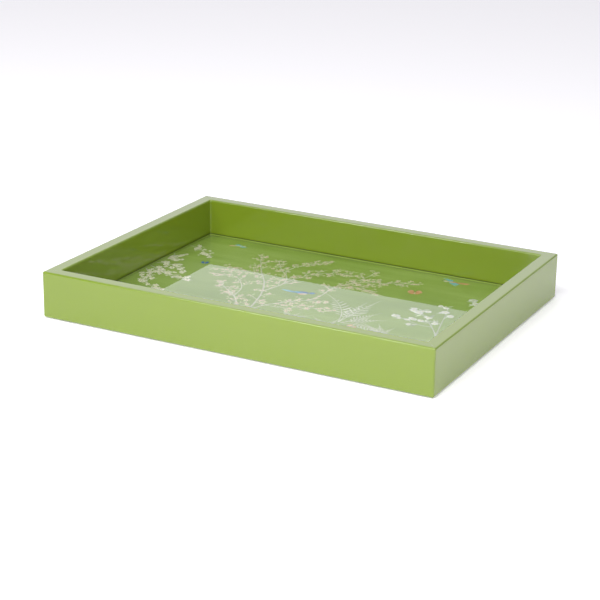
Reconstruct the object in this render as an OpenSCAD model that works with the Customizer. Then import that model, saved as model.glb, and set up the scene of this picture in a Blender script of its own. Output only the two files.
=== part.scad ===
// Gallery tray of lacquered board: four mitred rails around a base board, with a painted
// panel under a glass insert as its floor and a felt sheet underneath.
// The origin is the middle of the felt's underside. +X runs along the tray, +Y across it
// and +Z up. The front rail faces -Y.

/* [Tray] */
// Length over the rails, along X
tray_length = 360; // [240:1:480]
// Width over the rails, along Y
tray_width = 270; // [180:1:360]
// Height of the rails, without the felt
rail_height = 40.5; // [30:0.5:60]
// Thickness of the rails
rail_thickness = 12; // [9:0.5:18]
// Radius that sanding and lacquer leave on the rails' outer edges
edge_radius = 1.5; // [0.5:0.1:2.5]

/* [Base board] */
// Thickness of the base board, which is also the height of the rabbet that takes it
base_thickness = 5; // [3:0.5:8]
// Width of the rabbet along the inside bottom edge of the rails
rabbet_width = 6; // [4:0.5:7]
// Gap between the base board's edges and the rabbet
base_clearance = 0.25; // [0.1:0.05:0.5]

/* [Floor] */
// Thickness of the painted panel
panel_thickness = 0.8; // [0.5:0.1:2]
// Thickness of the glass insert
glass_thickness = 2; // [1.5:0.1:4]
// Gap between the rails and the edges of the panel and the glass
floor_clearance = 0.6; // [0.3:0.1:1.5]

/* [Felt] */
// Thickness of the felt sheet
felt_thickness = 1; // [0.8:0.1:2]
// Distance of the felt's edges inside the rails' outer faces
felt_inset = 3; // [2:0.5:5]
// Corner radius of the felt sheet
felt_corner_radius = 3; // [1:0.5:8]

/* [Corner splines] */
// Thickness of a spline, along the mitre
spline_thickness = 3; // [2:0.5:4]
// Width of a spline, half of it in each rail
spline_width = 10; // [6:0.5:12]
// Distance of a spline's middle from the inside faces of the rails
spline_setback = 4.5; // [3.5:0.1:5]
// Board left above a spline, which hides it
spline_top_cover = 7; // [4:0.5:10]
// Board left between a spline and the rabbet
spline_bottom_cover = 2.5; // [1.5:0.5:5]
// Glue space at a spline's ends
glue_gap = 0.2; // [0.1:0.05:0.4]

/* [Panel pins] */
// Diameter of a pin's shank
pin_diameter = 1.4; // [1:0.1:1.8]
// Length of a pin with its head
pin_length = 15; // [12:0.5:20]
// Length of a pin's point
pin_point = 1.6; // [1:0.1:2.5]
// Diameter of a pin's head
pin_head_diameter = 2.6; // [2:0.1:3.2]
// Thickness of a pin's head
pin_head_height = 0.8; // [0.5:0.1:1.5]
// Gap around a pin in its hole
pin_clearance = 0.05; // [0.02:0.01:0.1]
// Pins along the front rail, and as many along the back rail
pins_lengthwise = 5; // [3:1:7]
// Pins along each end rail
pins_crosswise = 3; // [2:1:5]
// Distance of the outermost pins from the inside corners
pin_end_margin = 30; // [20:1:40]

/* [Hidden] */
$fn = 48;
overshoot = 1;

lacquer_green = [0.64, 0.73, 0.42];
plywood_tan = [0.80, 0.66, 0.46];
board_brown = [0.62, 0.48, 0.33];
steel_grey = [0.72, 0.73, 0.75];
painted_green = [0.48, 0.59, 0.24];
glass_tint = [0.85, 0.93, 0.90, 0.35];
felt_green = [0.14, 0.20, 0.11];

inner_length = tray_length - 2 * rail_thickness;
inner_width = tray_width - 2 * rail_thickness;

// Levels, from the felt's underside up
rail_bottom_z = felt_thickness;
rail_top_z = rail_bottom_z + rail_height;
base_top_z = rail_bottom_z + base_thickness;
panel_top_z = base_top_z + panel_thickness;

spline_bottom_z = base_top_z + spline_bottom_cover;
spline_height = rail_top_z - spline_top_cover - spline_bottom_z;
spline_inset = rail_thickness - spline_setback;

// A line of evenly spaced places along one rail, about its middle
function pin_row(inner_span, count) = [
    for (i = [0:count - 1])
        (inner_span / 2 - pin_end_margin) * (2 * i / (count - 1) - 1)
];

// The pins stand in the middle of the rabbet
pin_x = inner_length / 2 + rabbet_width / 2;
pin_y = inner_width / 2 + rabbet_width / 2;
pin_places = concat(
    [for (x = pin_row(inner_length, pins_lengthwise), side = [-1, 1]) [x, side * pin_y]],
    [for (y = pin_row(inner_width, pins_crosswise), side = [-1, 1]) [side * pin_x, y]]
);

// ---- Shared outlines ----

// A rectangle with round corners, about the origin
module rounded_rectangle(length, width, radius) {
    square([length - 2 * radius, width], center = true);
    square([length, width - 2 * radius], center = true);
    for (x = [-1, 1], y = [-1, 1])
        translate([x * (length / 2 - radius), y * (width / 2 - radius)])
            circle(r = radius);
}

// Section of a rail: X is the distance in from its outer face and Y the height above its
// underside. The rabbet is cut out of the inside bottom corner.
module rail_section() {
    difference() {
        translate([rail_thickness / 2, rail_height / 2])
            rounded_rectangle(rail_thickness, rail_height, edge_radius);
        translate([rail_thickness - rabbet_width, -overshoot])
            square([rabbet_width + overshoot, base_thickness + overshoot]);
    }
}

// Plan of a rail with its mitred ends, facing -Y
module mitre_plan(run, across) {
    polygon([
        [-run / 2, -across / 2],
        [run / 2, -across / 2],
        [run / 2 - rail_thickness, -across / 2 + rail_thickness],
        [-run / 2 + rail_thickness, -across / 2 + rail_thickness]
    ]);
}

// ---- Joinery ----

// Puts its children at one corner: the middle of the mitre, turned across it
module at_corner(x_side, y_side) {
    translate([
        x_side * (tray_length / 2 - spline_inset),
        y_side * (tray_width / 2 - spline_inset),
        spline_bottom_z + spline_height / 2
    ])
        rotate([0, 0, -45 * x_side * y_side])
            children();
}

module spline(x_side, y_side) {
    at_corner(x_side, y_side)
        cube([spline_width, spline_thickness, spline_height], center = true);
}

// The slots hold the splines by their broad faces, with glue space at the ends
module spline_slots() {
    for (x = [-1, 1], y = [-1, 1])
        at_corner(x, y)
            cube([spline_width + 2 * glue_gap,
                  spline_thickness,
                  spline_height + 2 * glue_gap], center = true);
}

// One pin, driven up from the base board's underside
module pin() {
    cylinder(d = pin_head_diameter, h = pin_head_height);
    cylinder(d = pin_diameter, h = pin_length - pin_point);
    translate([0, 0, pin_length - pin_point])
        cylinder(d1 = pin_diameter, d2 = pin_diameter / 5, h = pin_point);
}

// Holes for all the pins, with a sinking for each head
module pin_holes() {
    for (place = pin_places)
        translate([place[0], place[1], rail_bottom_z]) {
            cylinder(d = pin_diameter + 2 * pin_clearance, h = pin_length + pin_clearance);
            translate([0, 0, -overshoot])
                cylinder(d = pin_head_diameter + 2 * pin_clearance,
                         h = pin_head_height + overshoot);
        }
}

// ---- Rails ----

// A mitred rail before its joinery is cut, facing -Y
module rail_blank(run, across) {
    intersection() {
        translate([-run / 2, -across / 2, rail_bottom_z])
            rotate([90, 0, 90])
                linear_extrude(height = run)
                    rail_section();
        linear_extrude(height = rail_top_z + overshoot)
            mitre_plan(run, across);
        linear_extrude(height = rail_top_z + overshoot)
            rounded_rectangle(run, across, edge_radius);
    }
}

// A finished rail, turned about Z to its side of the tray
module rail(run, across, turn) {
    color(lacquer_green)
        difference() {
            rotate([0, 0, turn])
                rail_blank(run, across);
            spline_slots();
            pin_holes();
        }
}

module front_rail() {
    rail(tray_length, tray_width, 0);
}

module back_rail() {
    rail(tray_length, tray_width, 180);
}

module left_rail() {
    rail(tray_width, tray_length, -90);
}

module right_rail() {
    rail(tray_width, tray_length, 90);
}

module front_left_spline() {
    color(plywood_tan)
        spline(-1, -1);
}

module front_right_spline() {
    color(plywood_tan)
        spline(1, -1);
}

module back_left_spline() {
    color(plywood_tan)
        spline(-1, 1);
}

module back_right_spline() {
    color(plywood_tan)
        spline(1, 1);
}

// ---- Floor ----

module base_board() {
    edge = rabbet_width - base_clearance;
    color(board_brown)
        difference() {
            translate([0, 0, rail_bottom_z])
                linear_extrude(height = base_thickness)
                    square([inner_length + 2 * edge, inner_width + 2 * edge], center = true);
            pin_holes();
        }
}

module panel_pins() {
    color(steel_grey)
        for (place = pin_places)
            translate([place[0], place[1], rail_bottom_z])
                pin();
}

// A sheet of the floor, let in between the rails
module floor_sheet(bottom_z, thickness) {
    translate([0, 0, bottom_z])
        linear_extrude(height = thickness)
            square([inner_length - 2 * floor_clearance,
                    inner_width - 2 * floor_clearance], center = true);
}

module painted_panel() {
    color(painted_green)
        floor_sheet(base_top_z, panel_thickness);
}

module glass_insert() {
    color(glass_tint)
        floor_sheet(panel_top_z, glass_thickness);
}

module felt_base() {
    color(felt_green)
        linear_extrude(height = felt_thickness)
            rounded_rectangle(tray_length - 2 * felt_inset,
                              tray_width - 2 * felt_inset,
                              felt_corner_radius);
}

front_rail();
back_rail();
left_rail();
right_rail();
front_left_spline();
front_right_spline();
back_left_spline();
back_right_spline();
base_board();
panel_pins();
painted_panel();
glass_insert();
felt_base();
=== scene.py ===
"""Looks of the painted gallery tray: lacquered rails, a painted card under glass and a felt base.

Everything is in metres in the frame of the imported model: +X along the tray, +Y towards the
back rail, +Z up, with the origin in the middle of the felt's underside.
"""

import logging
import math
from dataclasses import dataclass, field
from enum import Enum

import bmesh
import bpy
import numpy as np
from mathutils import Matrix, Vector
from mathutils.geometry import tessellate_polygon


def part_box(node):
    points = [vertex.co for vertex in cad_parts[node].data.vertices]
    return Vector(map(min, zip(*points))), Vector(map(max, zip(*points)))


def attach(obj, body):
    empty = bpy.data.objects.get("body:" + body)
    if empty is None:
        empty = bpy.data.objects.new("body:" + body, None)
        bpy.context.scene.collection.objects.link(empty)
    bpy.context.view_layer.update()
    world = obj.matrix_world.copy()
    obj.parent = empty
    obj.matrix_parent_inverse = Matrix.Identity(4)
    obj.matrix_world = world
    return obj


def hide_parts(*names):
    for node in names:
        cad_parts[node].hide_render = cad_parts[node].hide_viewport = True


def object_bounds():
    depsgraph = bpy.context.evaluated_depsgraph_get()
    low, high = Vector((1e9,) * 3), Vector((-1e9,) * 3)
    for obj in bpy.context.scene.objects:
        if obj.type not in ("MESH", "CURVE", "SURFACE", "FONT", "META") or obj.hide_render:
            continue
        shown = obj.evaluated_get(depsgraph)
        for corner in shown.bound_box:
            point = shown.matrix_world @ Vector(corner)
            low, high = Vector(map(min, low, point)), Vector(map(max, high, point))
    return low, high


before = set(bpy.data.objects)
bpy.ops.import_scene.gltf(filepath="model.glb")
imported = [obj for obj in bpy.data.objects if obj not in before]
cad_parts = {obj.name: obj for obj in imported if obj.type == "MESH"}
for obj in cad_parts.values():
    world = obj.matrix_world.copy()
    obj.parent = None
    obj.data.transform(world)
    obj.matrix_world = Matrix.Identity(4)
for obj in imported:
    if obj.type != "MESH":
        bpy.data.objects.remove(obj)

CAD_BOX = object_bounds()
MM = 0.001
TAU = 2 * math.pi
BODY = "root"
Pair = tuple[float, float]
Triple = tuple[float, float, float]
Colour = Triple
Rng = np.random.Generator
log = logging.getLogger("tray")


# ---------------------------------------------------------------- shader maths


class Sock:
    """A shader socket that takes part in Python sums, each of which adds a Math node."""

    def __init__(self, tree: "Tree", socket: bpy.types.NodeSocket) -> None:
        """Keeps the socket.

        Args:
            tree: the node tree that new nodes go into.
            socket: the output socket to wrap.
        """
        self.tree = tree
        self.socket = socket

    def _math(self, operation: str, first: "Sock | float", second: "Sock | float") -> "Sock":
        """Adds one Math node.

        Args:
            operation: the node's operation.
            first: its first value.
            second: its second value.

        Returns:
            The node's result.
        """
        return self.tree.node("ShaderNodeMath", {"operation": operation}, {0: first, 1: second})

    def __add__(self, other: "Sock | float") -> "Sock":
        """self + other."""
        return self._math("ADD", self, other)

    __radd__ = __add__

    def __mul__(self, other: "Sock | float") -> "Sock":
        """self * other."""
        return self._math("MULTIPLY", self, other)

    __rmul__ = __mul__

    def __pow__(self, other: "Sock | float") -> "Sock":
        """self to the power of other."""
        return self._math("POWER", self, other)

    def greater(self, other: float) -> "Sock":
        """1 where self is more than other, and 0 elsewhere."""
        return self._math("GREATER_THAN", self, other)


class Tree:
    """A node tree with one method that adds any node."""

    def __init__(self, nodes: bpy.types.NodeTree) -> None:
        """Empties the tree.

        Args:
            nodes: the tree of a material or a world.
        """
        self.tree = nodes
        nodes.nodes.clear()

    def node(self, kind: str, settings: dict | None = None, inputs: dict | None = None,
             output: int | str = 0) -> Sock:
        """Adds a node.

        Args:
            kind: the node's type.
            settings: its properties, set first. A ramp's stops are (place, colour) pairs.
            inputs: a value or a Sock for each socket, by name or number.
            output: the output to return, by name or number.

        Returns:
            That output.
        """
        made = self.tree.nodes.new(kind)
        for name, value in (settings or {}).items():
            if name == "stops":
                self._set_stops(made.color_ramp, value)
            else:
                setattr(made, name, value)
        for name, value in (inputs or {}).items():
            if isinstance(value, Sock):
                self.tree.links.new(value.socket, made.inputs[name])
            else:
                made.inputs[name].default_value = value
        return Sock(self, made.outputs[output]) if made.outputs else Sock(self, None)

    @staticmethod
    def _set_stops(ramp: bpy.types.ColorRamp, stops: list[tuple[float, Colour]]) -> None:
        """Gives a colour ramp its stops.

        Args:
            ramp: the ramp, which starts with two.
            stops: the place and colour of each.
        """
        while len(ramp.elements) < len(stops):
            ramp.elements.new(1.0)
        for element, (place, colour) in zip(ramp.elements, stops):
            element.position = place
            element.color = (*colour, 1.0)

    def object_place(self, stretch: Triple = (1, 1, 1), turn: float = 0.0) -> Sock:
        """The piece's own coordinates in metres, turned about Z and then stretched.

        Args:
            stretch: what each axis is multiplied by.
            turn: the angle about Z, in radians.

        Returns:
            The coordinates.
        """
        own = self.node("ShaderNodeTexCoord", output="Object")
        turned = {"Vector": own, "Rotation": (0, 0, turn), "Scale": stretch}
        return self.node("ShaderNodeMapping", {"vector_type": "POINT"}, turned)

    def noise(self, scale: float = 1.0, detail: float = 3.0, rough: float = 0.5,
              stretch: Triple = (1, 1, 1), turn: float = 0.0,
              place: Sock | None = None) -> Sock:
        """Fractal noise from 0 to 1, on the piece's own coordinates.

        Args:
            scale: features in each unit of the stretched coordinates.
            detail: octaves of finer noise.
            rough: how strong the finer octaves are.
            stretch: what each axis is multiplied by first.
            turn: the angle about Z, in radians.
            place: coordinates to read instead of the piece's own.

        Returns:
            The noise.
        """
        values = {"Vector": place or self.object_place(stretch, turn), "Scale": scale,
                  "Detail": detail, "Roughness": rough}
        return self.node("ShaderNodeTexNoise", {}, values)

    def blend(self, factor: Sock | float, first: Sock | Colour, second: Sock | Colour,
              how: str = "MIX") -> Sock:
        """Mixes two colours.

        Args:
            factor: 0 for the first and 1 for the second.
            first: a colour.
            second: another.
            how: the blend type.

        Returns:
            The mixed colour.
        """
        made = {"data_type": "RGBA", "blend_type": how, "clamp_factor": True}
        four = [(*c, 1.0) if isinstance(c, tuple) else c for c in (first, second)]
        return self.node("ShaderNodeMix", made, {0: factor, 6: four[0], 7: four[1]}, output=2)

    def ramp(self, factor: Sock, stops: list[tuple[float, Colour]]) -> Sock:
        """A colour ramp read at factor, with the given (place, colour) stops."""
        return self.node("ShaderNodeValToRGB", {"stops": stops}, {"Fac": factor})

    def step(self, value: Sock, low: float, high: float) -> Sock:
        """A smooth step: 0 below low, and 1 above high."""
        made = {"interpolation_type": "SMOOTHSTEP"}
        return self.node("ShaderNodeMapRange", made, {"Value": value, 1: low, 2: high})

    def bump(self, height: Sock, strength: float, distance: float) -> Sock:
        """A normal tilted by height, at a strength and a depth in metres."""
        values = {"Height": height, "Strength": strength, "Distance": distance}
        return self.node("ShaderNodeBump", {}, values)

    def surface(self, shader: Sock) -> None:
        """Makes shader the material's surface."""
        self.node("ShaderNodeOutputMaterial", {}, {"Surface": shader})

    def principled(self, **values: Sock | Colour | float) -> None:
        """A Principled surface.

        Args:
            values: its sockets, with _ for each space in their names.
        """
        inputs = {name.replace("_", " "): value for name, value in values.items()}
        for name, value in inputs.items():
            if isinstance(value, tuple) and len(value) == 3:
                inputs[name] = (*value, 1.0)
        self.surface(self.node("ShaderNodeBsdfPrincipled", {}, inputs))


def new_material(name: str) -> tuple[bpy.types.Material, Tree]:
    """An empty material.

    Args:
        name: what it is called.

    Returns:
        The material and its tree.
    """
    material = bpy.data.materials.new(name)
    material.use_nodes = True
    return material, Tree(material.node_tree)


# ---------------------------------------------------------------- finishes


@dataclass(frozen=True)
class GreenLacquer:
    """Many coats of clear green lacquer, polished, with a painted sheen that makes the round edges
    a little paler.
    """

    body: Colour = (0.168, 0.240, 0.015)
    cloud: Colour = (0.160, 0.230, 0.013)
    edge_sheen: Colour = (0.168, 0.250, 0.016)
    index: float = 1.7
    gloss: float = 0.035

    def build(self) -> bpy.types.Material:
        """The material."""
        material, tree = new_material("green_lacquer")
        clouds = tree.noise(scale=14.0)
        peel = tree.noise(scale=420.0, detail=2.0)
        haze = tree.noise(scale=60.0, detail=4.0)
        edge = tree.node("ShaderNodeAttribute", {"attribute_name": "edge_sheen"}, output="Fac")
        paint = tree.blend(clouds, self.cloud, self.body)
        # The round edges are blended towards a paler green: a painted sheen standing in for the
        # light they catch.
        tree.principled(
            Base_Color=tree.blend(edge * 0.8, paint, self.edge_sheen),
            Roughness=self.gloss + 0.03 * haze,
            IOR=self.index,
            Normal=tree.bump(peel + 2.0 * clouds, strength=0.02, distance=0.4 * MM),
        )
        return material


@dataclass(frozen=True)
class PaintedGround:
    """Matt green distemper, brushed along the tray in broad overlapping passes."""

    deep: Colour = (0.185, 0.262, 0.028)
    middle: Colour = (0.255, 0.333, 0.058)
    pale: Colour = (0.340, 0.412, 0.110)

    def build(self) -> bpy.types.Material:
        """The material."""
        material, tree = new_material("painted_ground")
        washes = tree.noise(scale=9.0, detail=4.0, rough=0.55)
        passes = tree.noise(stretch=(6.0, 70.0, 1.0))
        hairs = tree.noise(detail=2.0, stretch=(30.0, 900.0, 1.0))
        mixed = 0.5 * washes + 0.35 * passes + 0.15 * hairs
        stops = [(0.34, self.deep), (0.50, self.middle), (0.68, self.pale)]
        tree.principled(
            Base_Color=tree.ramp(mixed, stops),
            Roughness=0.55 + 0.15 * hairs,
            Normal=tree.bump(hairs + passes, strength=0.25, distance=0.1 * MM),
        )
        return material


@dataclass(frozen=True)
class BrushPaint:
    """Opaque body colour laid on with a small brush.

    Each stroke carries its own colours, which are multiplied by how much paint the brush held.
    """

    thin_load: Colour = (0.78, 0.80, 0.74)
    full_load: Colour = (1.12, 1.10, 1.10)

    def build(self) -> bpy.types.Material:
        """The material."""
        material, tree = new_material("brush_paint")
        colour = tree.node("ShaderNodeAttribute", {"attribute_name": "paint"}, output="Color")
        along = tree.node("ShaderNodeAttribute", {"attribute_name": "stroke"}, output="Vector")
        hairs = tree.noise(detail=2.0, place=along)
        thin = tree.noise(scale=260.0, detail=2.0)
        load = 0.6 * hairs + 0.4 * thin
        shaded = tree.blend(load, self.thin_load, self.full_load)
        tree.principled(
            Base_Color=tree.blend(1.0, colour, shaded, "MULTIPLY"),
            Roughness=0.5 + 0.2 * thin,
            Normal=tree.bump(load, strength=0.3, distance=0.08 * MM),
        )
        return material


@dataclass(frozen=True)
class ClearGlass:
    """Polished float glass: its top mirrors, its underside is clear and its edge is painted: seam
    shade above, the ground's reflection below.
    """

    tint: Colour = (0.94, 0.975, 0.955)
    straight_on: float = 0.04
    smear_share: float = 0.004
    ground_reflection_green: Colour = (0.250, 0.330, 0.055)
    seam_shade: Colour = (0.014, 0.018, 0.007)
    seam_shade_span: Pair = (0.56, 0.66)

    def top(self) -> bpy.types.Material:
        """The polished face, whose mirroring grows towards a grazing look."""
        material, tree = new_material("glass_top")
        facing = tree.node("ShaderNodeLayerWeight", {}, {"Blend": 0.5}, output="Facing")
        mirror = self.straight_on + (1.0 - self.straight_on) * facing ** 5.0
        wiped = tree.noise(detail=4.0, stretch=(9.0, 26.0, 1.0))
        through = tree.node("ShaderNodeBsdfTransparent", {}, {"Color": (*self.tint, 1.0)})
        gloss = {"Color": (1, 1, 1, 1), "Roughness": 0.012 + 0.012 * wiped}
        shine = tree.node("ShaderNodeBsdfGlossy", {}, gloss)
        tree.surface(tree.node("ShaderNodeMixShader", {}, {0: mirror, 1: through, 2: shine}))
        return material

    def under(self) -> bpy.types.Material:
        """The underside, which lets light pass with the least trace of a smear."""
        material, tree = new_material("glass_under")
        smear = tree.noise(stretch=(12.0, 8.0, 1.0))
        tint = {"Color": (*self.tint, 1.0)}
        through = tree.node("ShaderNodeBsdfTransparent", {}, tint)
        film = tree.node("ShaderNodeBsdfGlossy", {}, {**tint, "Roughness": 0.4})
        mixed = {0: self.smear_share * smear, 1: through, 2: film}
        tree.surface(tree.node("ShaderNodeMixShader", {}, mixed))
        return material

    def edge(self, bottom: float, top: float) -> bpy.types.Material:
        """The ground edge, as it is seen through the top.

        A slanting look is bent downwards in glass, so only the edge's upper part is seen; it is
        painted dark, as painted shade of the seam. Below that band the edge is painted the green
        of the ground, a painted reflection of the ground that the glass would show there.

        Args:
            bottom: height of the glass's underside.
            top: height of its top.

        Returns:
            The material.
        """
        material, tree = new_material("glass_edge")
        ground = tree.noise(scale=700.0, detail=2.0, stretch=(1.0, 1.0, 4.0))
        height = tree.node("ShaderNodeSeparateXYZ", {}, {0: tree.object_place()}, output="Z")
        starts, ends = (bottom + share * (top - bottom) for share in self.seam_shade_span)
        # Painted shade of the seam on the edge's upper part, over a painted reflection of the
        # ground below it.
        line = tree.step(height, low=starts, high=ends)
        tree.principled(
            Base_Color=tree.blend(line, self.ground_reflection_green, self.seam_shade),
            Roughness=0.4 + 0.3 * ground,
            Normal=tree.bump(ground, strength=0.2, distance=0.1 * MM),
        )
        return material


@dataclass(frozen=True)
class WoolFelt:
    """Pressed wool felt: short fibres lying every way, with paler and darker ones."""

    shade: Colour = (0.018, 0.030, 0.014)
    light: Colour = (0.060, 0.085, 0.040)

    def build(self) -> bpy.types.Material:
        """The material."""
        material, tree = new_material("wool_felt")
        lengthwise = tree.noise(rough=0.65, stretch=(500.0, 2600.0, 900.0), turn=0.5)
        crosswise = tree.noise(rough=0.65, stretch=(2400.0, 450.0, 900.0), turn=0.3)
        lumps = tree.noise(scale=90.0)
        fibres = 0.4 * lengthwise + 0.4 * crosswise + 0.2 * lumps
        tree.principled(
            Base_Color=tree.ramp(fibres, [(0.38, self.shade), (0.64, self.light)]),
            Roughness=0.88 + 0.1 * lumps,
            Sheen_Weight=0.35,
            Sheen_Roughness=0.5,
            Normal=tree.bump(fibres, strength=0.7, distance=0.3 * MM),
        )
        return material


@dataclass(frozen=True)
class BareFibreboard:
    """Uncoated fibreboard: fine brown felted fibre with darker flecks."""

    shade: Colour = (0.25, 0.16, 0.09)
    ground: Colour = (0.33, 0.22, 0.13)
    fleck: Colour = (0.17, 0.10, 0.055)

    def build(self) -> bpy.types.Material:
        """The material."""
        material, tree = new_material("bare_fibreboard")
        felted = tree.noise(scale=700.0, detail=5.0, rough=0.7, stretch=(1.0, 1.0, 5.0))
        flecks = tree.noise(scale=480.0, detail=2.0, stretch=(1.0, 2.4, 1.0), turn=0.6)
        mask = tree.step(flecks, low=0.60, high=0.70)
        fibre = tree.ramp(felted, [(0.3, self.shade), (0.7, self.ground)])
        tree.principled(
            Base_Color=tree.blend(mask, fibre, self.fleck),
            Roughness=0.75 + 0.2 * felted,
            Normal=tree.bump(felted, strength=0.5, distance=0.1 * MM),
        )
        return material


@dataclass(frozen=True)
class ThinPlywood:
    """Three-ply birch, seen with its plies across one diagonal of the tray."""

    turn: float
    face: Colour = (0.62, 0.46, 0.28)
    core: Colour = (0.40, 0.26, 0.14)

    def build(self) -> bpy.types.Material:
        """The material."""
        material, tree = new_material(f"birch_ply_{round(math.degrees(self.turn))}")
        grain = tree.noise(detail=4.0, stretch=(900.0, 900.0, 40.0), turn=self.turn)
        plies = tree.object_place((1000.0, 1000.0, 1000.0), self.turn)
        depth = tree.node("ShaderNodeSeparateXYZ", {}, {0: plies}, output="X")
        bands = tree.node("ShaderNodeMath", {"operation": "PINGPONG"}, {0: depth, 1: 1.0})
        wood = tree.ramp(grain, [(0.35, self.core), (0.62, self.face)])
        tree.principled(
            Base_Color=tree.blend(bands.greater(0.5) * 0.6, wood, self.core),
            Roughness=0.6 + 0.2 * grain,
            Normal=tree.bump(grain, strength=0.4, distance=0.1 * MM),
        )
        return material


@dataclass(frozen=True)
class DrawnSteel:
    """Bright drawn wire with fine rings along it and a trace of tarnish."""

    bright: Colour = (0.56, 0.56, 0.55)
    tarnish: Colour = (0.30, 0.27, 0.23)

    def build(self) -> bpy.types.Material:
        """The material."""
        material, tree = new_material("drawn_steel")
        rings = tree.noise(detail=2.0, stretch=(80.0, 80.0, 4000.0))
        stain = tree.noise(scale=300.0)
        tree.principled(
            Base_Color=tree.ramp(stain, [(0.35, self.tarnish), (0.55, self.bright)]),
            Metallic=1.0,
            Roughness=0.25 + 0.2 * rings,
            Normal=tree.bump(rings, strength=0.2, distance=0.05 * MM),
        )
        return material


@dataclass(frozen=True)
class StudioPaper:
    """The pale studio floor, which gives off a little light of its own."""

    colour: Colour = (0.86, 0.86, 0.85)
    lift: float = 0.30

    def build(self) -> bpy.types.Material:
        """The material."""
        material, tree = new_material("studio_paper")
        tooth = tree.noise(scale=900.0, detail=2.0)
        tree.principled(
            Base_Color=self.colour,
            Roughness=0.8,
            Specular_IOR_Level=0.0,
            Emission_Color=(1.0, 1.0, 1.0),
            Emission_Strength=self.lift,
            Normal=tree.bump(tooth, strength=0.05, distance=0.1 * MM),
        )
        return material


# ---------------------------------------------------------------- meshes


def grid_faces(rows: int, columns: int, wrap_rows: bool = False,
               wrap_columns: bool = False) -> np.ndarray:
    """Quads between the points of a grid, which are numbered row by row.

    Args:
        rows: rows of points.
        columns: points in a row.
        wrap_rows: whether the last row joins the first.
        wrap_columns: whether the last column joins the first.

    Returns:
        The corner numbers, four to a quad.
    """
    row = np.arange(rows if wrap_rows else rows - 1)[:, None]
    column = np.arange(columns if wrap_columns else columns - 1)[None, :]
    below, beside = (row + 1) % rows, (column + 1) % columns
    corners = [row * columns + column, row * columns + beside,
               below * columns + beside, below * columns + column]
    return np.stack([c + 0 * row + 0 * column for c in corners], -1).reshape(-1, 4)


def make_piece(name: str, points: np.ndarray, faces: list, materials: list[bpy.types.Material],
               stands_for: tuple[str, ...] = ()) -> bpy.types.Object:
    """Puts a mesh in the scene as a piece of the tray, with its faces turned outwards.

    Args:
        name: the piece's name.
        points: its vertices.
        faces: corner numbers, as one list for each face.
        materials: its finishes.
        stands_for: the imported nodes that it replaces.

    Returns:
        The piece.
    """
    mesh = bpy.data.meshes.new(name)
    mesh.from_pydata(points.reshape(-1, 3).tolist(), [], faces)
    turned = bmesh.new()
    turned.from_mesh(mesh)
    bmesh.ops.recalc_face_normals(turned, faces=turned.faces)
    turned.to_mesh(mesh)
    turned.free()
    for material in materials:
        mesh.materials.append(material)
    piece = bpy.data.objects.new(name, mesh)
    bpy.context.collection.objects.link(piece)
    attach(piece, BODY)
    if stands_for:
        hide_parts(*stands_for)
    log.info("%s: %d faces", name, len(mesh.polygons))
    return piece


def shade_smooth(piece: bpy.types.Object, flat: set[int] | None = None) -> None:
    """Shades a piece smooth.

    Args:
        piece: the piece.
        flat: numbers of the faces that stay flat, with a sharp edge around them.
    """
    smooth = np.ones(len(piece.data.polygons), bool)
    smooth[list(flat or ())] = False
    piece.data.polygons.foreach_set("use_smooth", smooth)


def dress(node: str, material: bpy.types.Material) -> None:
    """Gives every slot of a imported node's own mesh one finish."""
    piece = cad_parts[node]
    if not piece.data.materials:
        piece.data.materials.append(material)
    for index in range(len(piece.data.materials)):
        piece.data.materials[index] = material


def rounded_ring(half_x: float, half_y: float, radius: float, steps: int) -> np.ndarray:
    """Outline of a rectangle with round corners, anticlockwise.

    Args:
        half_x: half its size along X.
        half_y: half its size along Y.
        radius: the corners' radius.
        steps: points on each corner, less one.

    Returns:
        Its points, in the plane.
    """
    angles = np.radians(np.linspace(0, 90, steps + 1))
    corner = np.stack([np.cos(angles), np.sin(angles)], -1) * radius
    turns = [(1, 1, 0), (-1, 1, 90), (-1, -1, 180), (1, -1, 270)]
    rings = []
    for side_x, side_y, degrees in turns:
        cos, sin = math.cos(math.radians(degrees)), math.sin(math.radians(degrees))
        arc = corner @ np.array([[cos, sin], [-sin, cos]])
        middle = (side_x * (half_x - radius), side_y * (half_y - radius))
        rings.append(arc + np.array(middle))
    return np.concatenate(rings)


# ---------------------------------------------------------------- sizes


@dataclass(frozen=True)
class TraySizes:
    """The tray's sizes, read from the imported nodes."""

    half_x: float
    half_y: float
    rail_bottom: float
    rail_top: float
    thickness: float
    rabbet_top: float
    card_bottom: float
    card_top: float
    glass_top: float
    floor_x: float
    floor_y: float
    board_x: float
    edge_radius: float = 1.5 * MM
    board_gap: float = 0.25 * MM

    @classmethod
    def from_frame(cls) -> "TraySizes":
        """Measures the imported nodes."""
        front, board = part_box("front_rail"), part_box("base_board")
        card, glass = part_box("painted_panel"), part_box("glass_insert")
        return cls(
            half_x=CAD_BOX[1].x, half_y=CAD_BOX[1].y,
            rail_bottom=front[0].z, rail_top=front[1].z, thickness=front[1].y - front[0].y,
            rabbet_top=board[1].z, card_bottom=card[0].z, card_top=card[1].z,
            glass_top=glass[1].z, floor_x=glass[1].x, floor_y=glass[1].y, board_x=board[1].x,
        )

    @property
    def inner_x(self) -> float:
        """Half the well's length."""
        return self.half_x - self.thickness

    @property
    def rabbet(self) -> float:
        """Width of the rabbet that the base board fills."""
        return round(self.board_x - self.inner_x + self.board_gap, 5)


# ---------------------------------------------------------------- rails


class Side(Enum):
    """A side of the tray: its rail's name and how far the rail is turned from the front."""

    FRONT = ("front", 0)
    RIGHT = ("right", 90)
    BACK = ("back", 180)
    LEFT = ("left", 270)


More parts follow.
